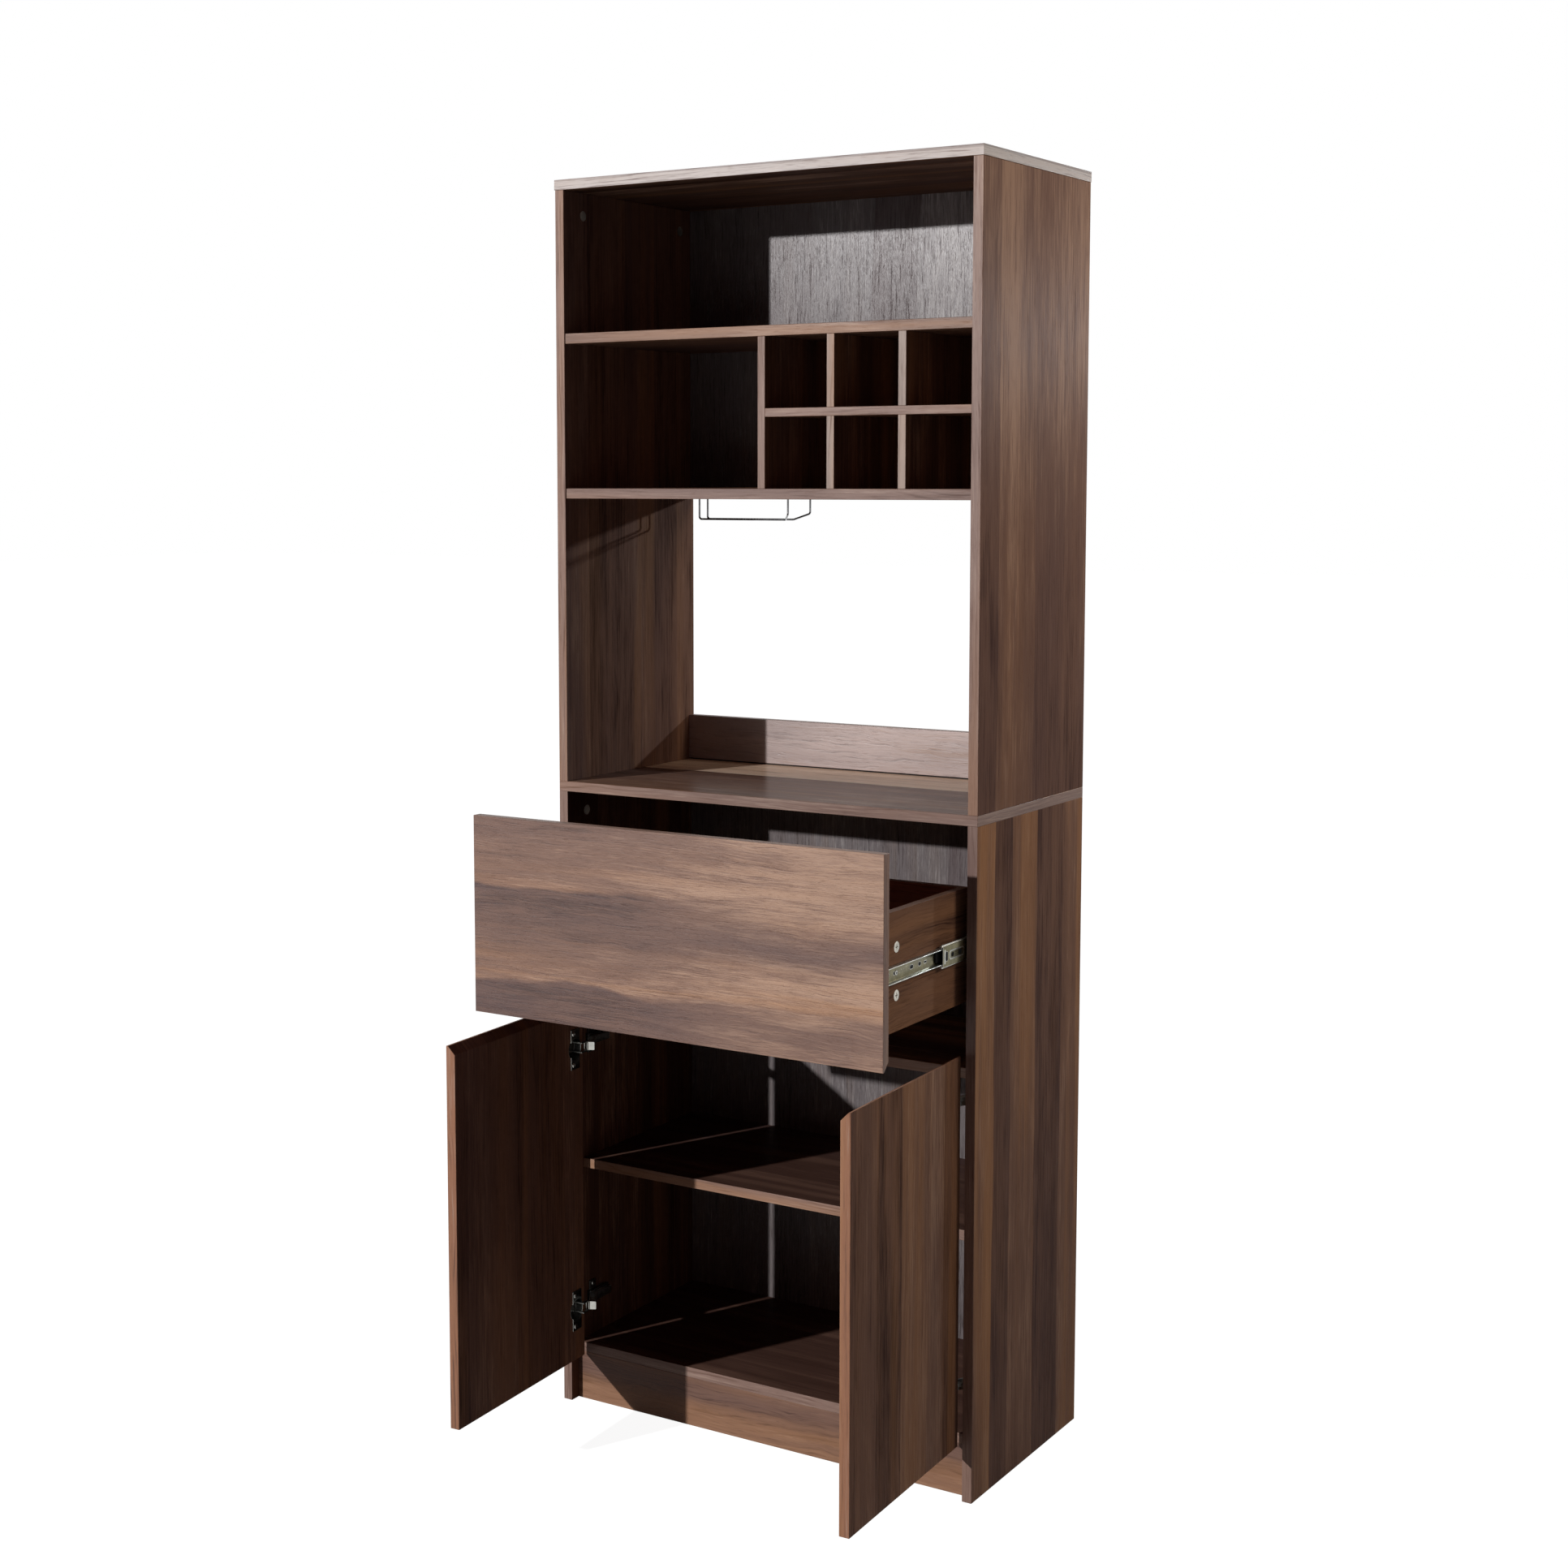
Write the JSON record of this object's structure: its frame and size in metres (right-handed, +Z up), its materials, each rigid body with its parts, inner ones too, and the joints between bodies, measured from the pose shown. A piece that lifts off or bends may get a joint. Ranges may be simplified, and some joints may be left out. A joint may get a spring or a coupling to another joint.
{
  "type": "wine cabinet",
  "caption": "Tall dark wood wine cabinet: open hutch with bottle cells and a stemware rack over a worktop, a wide drawer and two inset doors.",
  "frame": {"origin": "on the floor, at the middle of the kick plate's foot, midway between the side panels", "axes": "+X to the right seen from the front, +Y towards the back, +Z up"},
  "size_m": [0.702, 0.6814, 1.862],
  "materials": {
    "walnut_board": "satin foil",
    "back_board": "satin foil",
    "drawer_box": "satin foil",
    "zinc_steel": "zinc plated",
    "cam_metal": "cast",
    "rack_wire": "bright"
  },
  "bodies": {
    "cabinet": {"backsplash": "walnut_board", "bay_divider": "walnut_board", "bottom_panel": "walnut_board", "cam_bolts": "zinc_steel", "cam_locks": "cam_metal", "carcass_screws": "zinc_steel", "cell_divider_lower_left": "walnut_board", "cell_divider_lower_right": "walnut_board", "cell_divider_upper_left": "walnut_board", "cell_divider_upper_right": "walnut_board", "cell_shelf": "walnut_board", "drawer_divider": "walnut_board", "hinge_arm_left_lower": "zinc_steel", "hinge_arm_left_upper": "zinc_steel", "hinge_arm_right_lower": "zinc_steel", "hinge_arm_right_upper": "zinc_steel", "hinge_plate_left_lower": "zinc_steel", "hinge_plate_left_upper": "zinc_steel", "hinge_plate_right_lower": "zinc_steel", "hinge_plate_right_upper": "zinc_steel", "hutch_back": "back_board", "kick_plate": "walnut_board", "lower_back": "back_board", "lower_side_left": "walnut_board", "lower_side_right": "walnut_board", "middle_shelf": "walnut_board", "rack_shelf": "walnut_board", "shelf_pegs": "zinc_steel", "slide_cabinet_left": "zinc_steel", "slide_cabinet_right": "zinc_steel", "stemware_wire_back": "rack_wire", "stemware_wire_front": "rack_wire", "top_panel": "walnut_board", "upper_shelf": "walnut_board", "upper_side_left": "walnut_board", "upper_side_right": "walnut_board", "worktop": "walnut_board"},
    "drawer": {"drawer_back": "drawer_box", "drawer_bolts": "zinc_steel", "drawer_bottom": "back_board", "drawer_cams": "cam_metal", "drawer_front": "walnut_board", "drawer_screws": "zinc_steel", "drawer_side_left": "drawer_box", "drawer_side_right": "drawer_box", "slide_drawer_left": "zinc_steel", "slide_drawer_right": "zinc_steel"},
    "slide_middle_left": {"slide_middle_left": "zinc_steel"},
    "slide_middle_right": {"slide_middle_right": "zinc_steel"},
    "door_left": {"cup_screws_left": "zinc_steel", "door_left": "walnut_board", "hinge_cup_left_lower": "zinc_steel", "hinge_cup_left_upper": "zinc_steel"},
    "door_right": {"cup_screws_right": "zinc_steel", "door_right": "walnut_board", "hinge_cup_right_lower": "zinc_steel", "hinge_cup_right_upper": "zinc_steel"}
  },
  "joints": [
    {"name": "drawer_slide", "type": "slide", "parent": "cabinet", "child": "drawer", "axis": [0, -1, 0], "range_m": [-0.233, 0.012]},
    {"name": "middle_slide_left", "type": "slide", "parent": "cabinet", "child": "slide_middle_left", "axis": [0, -1, 0], "range_m": [-0.08, 0.005]},
    {"name": "middle_slide_right", "type": "slide", "parent": "cabinet", "child": "slide_middle_right", "axis": [0, -1, 0], "range_m": [-0.08, 0.005]},
    {"name": "door_swing_left", "type": "hinge", "parent": "cabinet", "child": "door_left", "pos_m": [-0.3285, -0.027, 0.3545], "axis": [0, 0, -1], "range_deg": [-87, 13]},
    {"name": "door_swing_right", "type": "hinge", "parent": "cabinet", "child": "door_right", "pos_m": [0.3285, -0.027, 0.3545], "axis": [0, 0, 1], "range_deg": [-92, 8]}
  ],
  "couplings": [
    {"joint": "middle_slide_left", "follows": "drawer_slide", "ratio": 0.34},
    {"joint": "middle_slide_right", "follows": "drawer_slide", "ratio": 0.34}
  ]
}
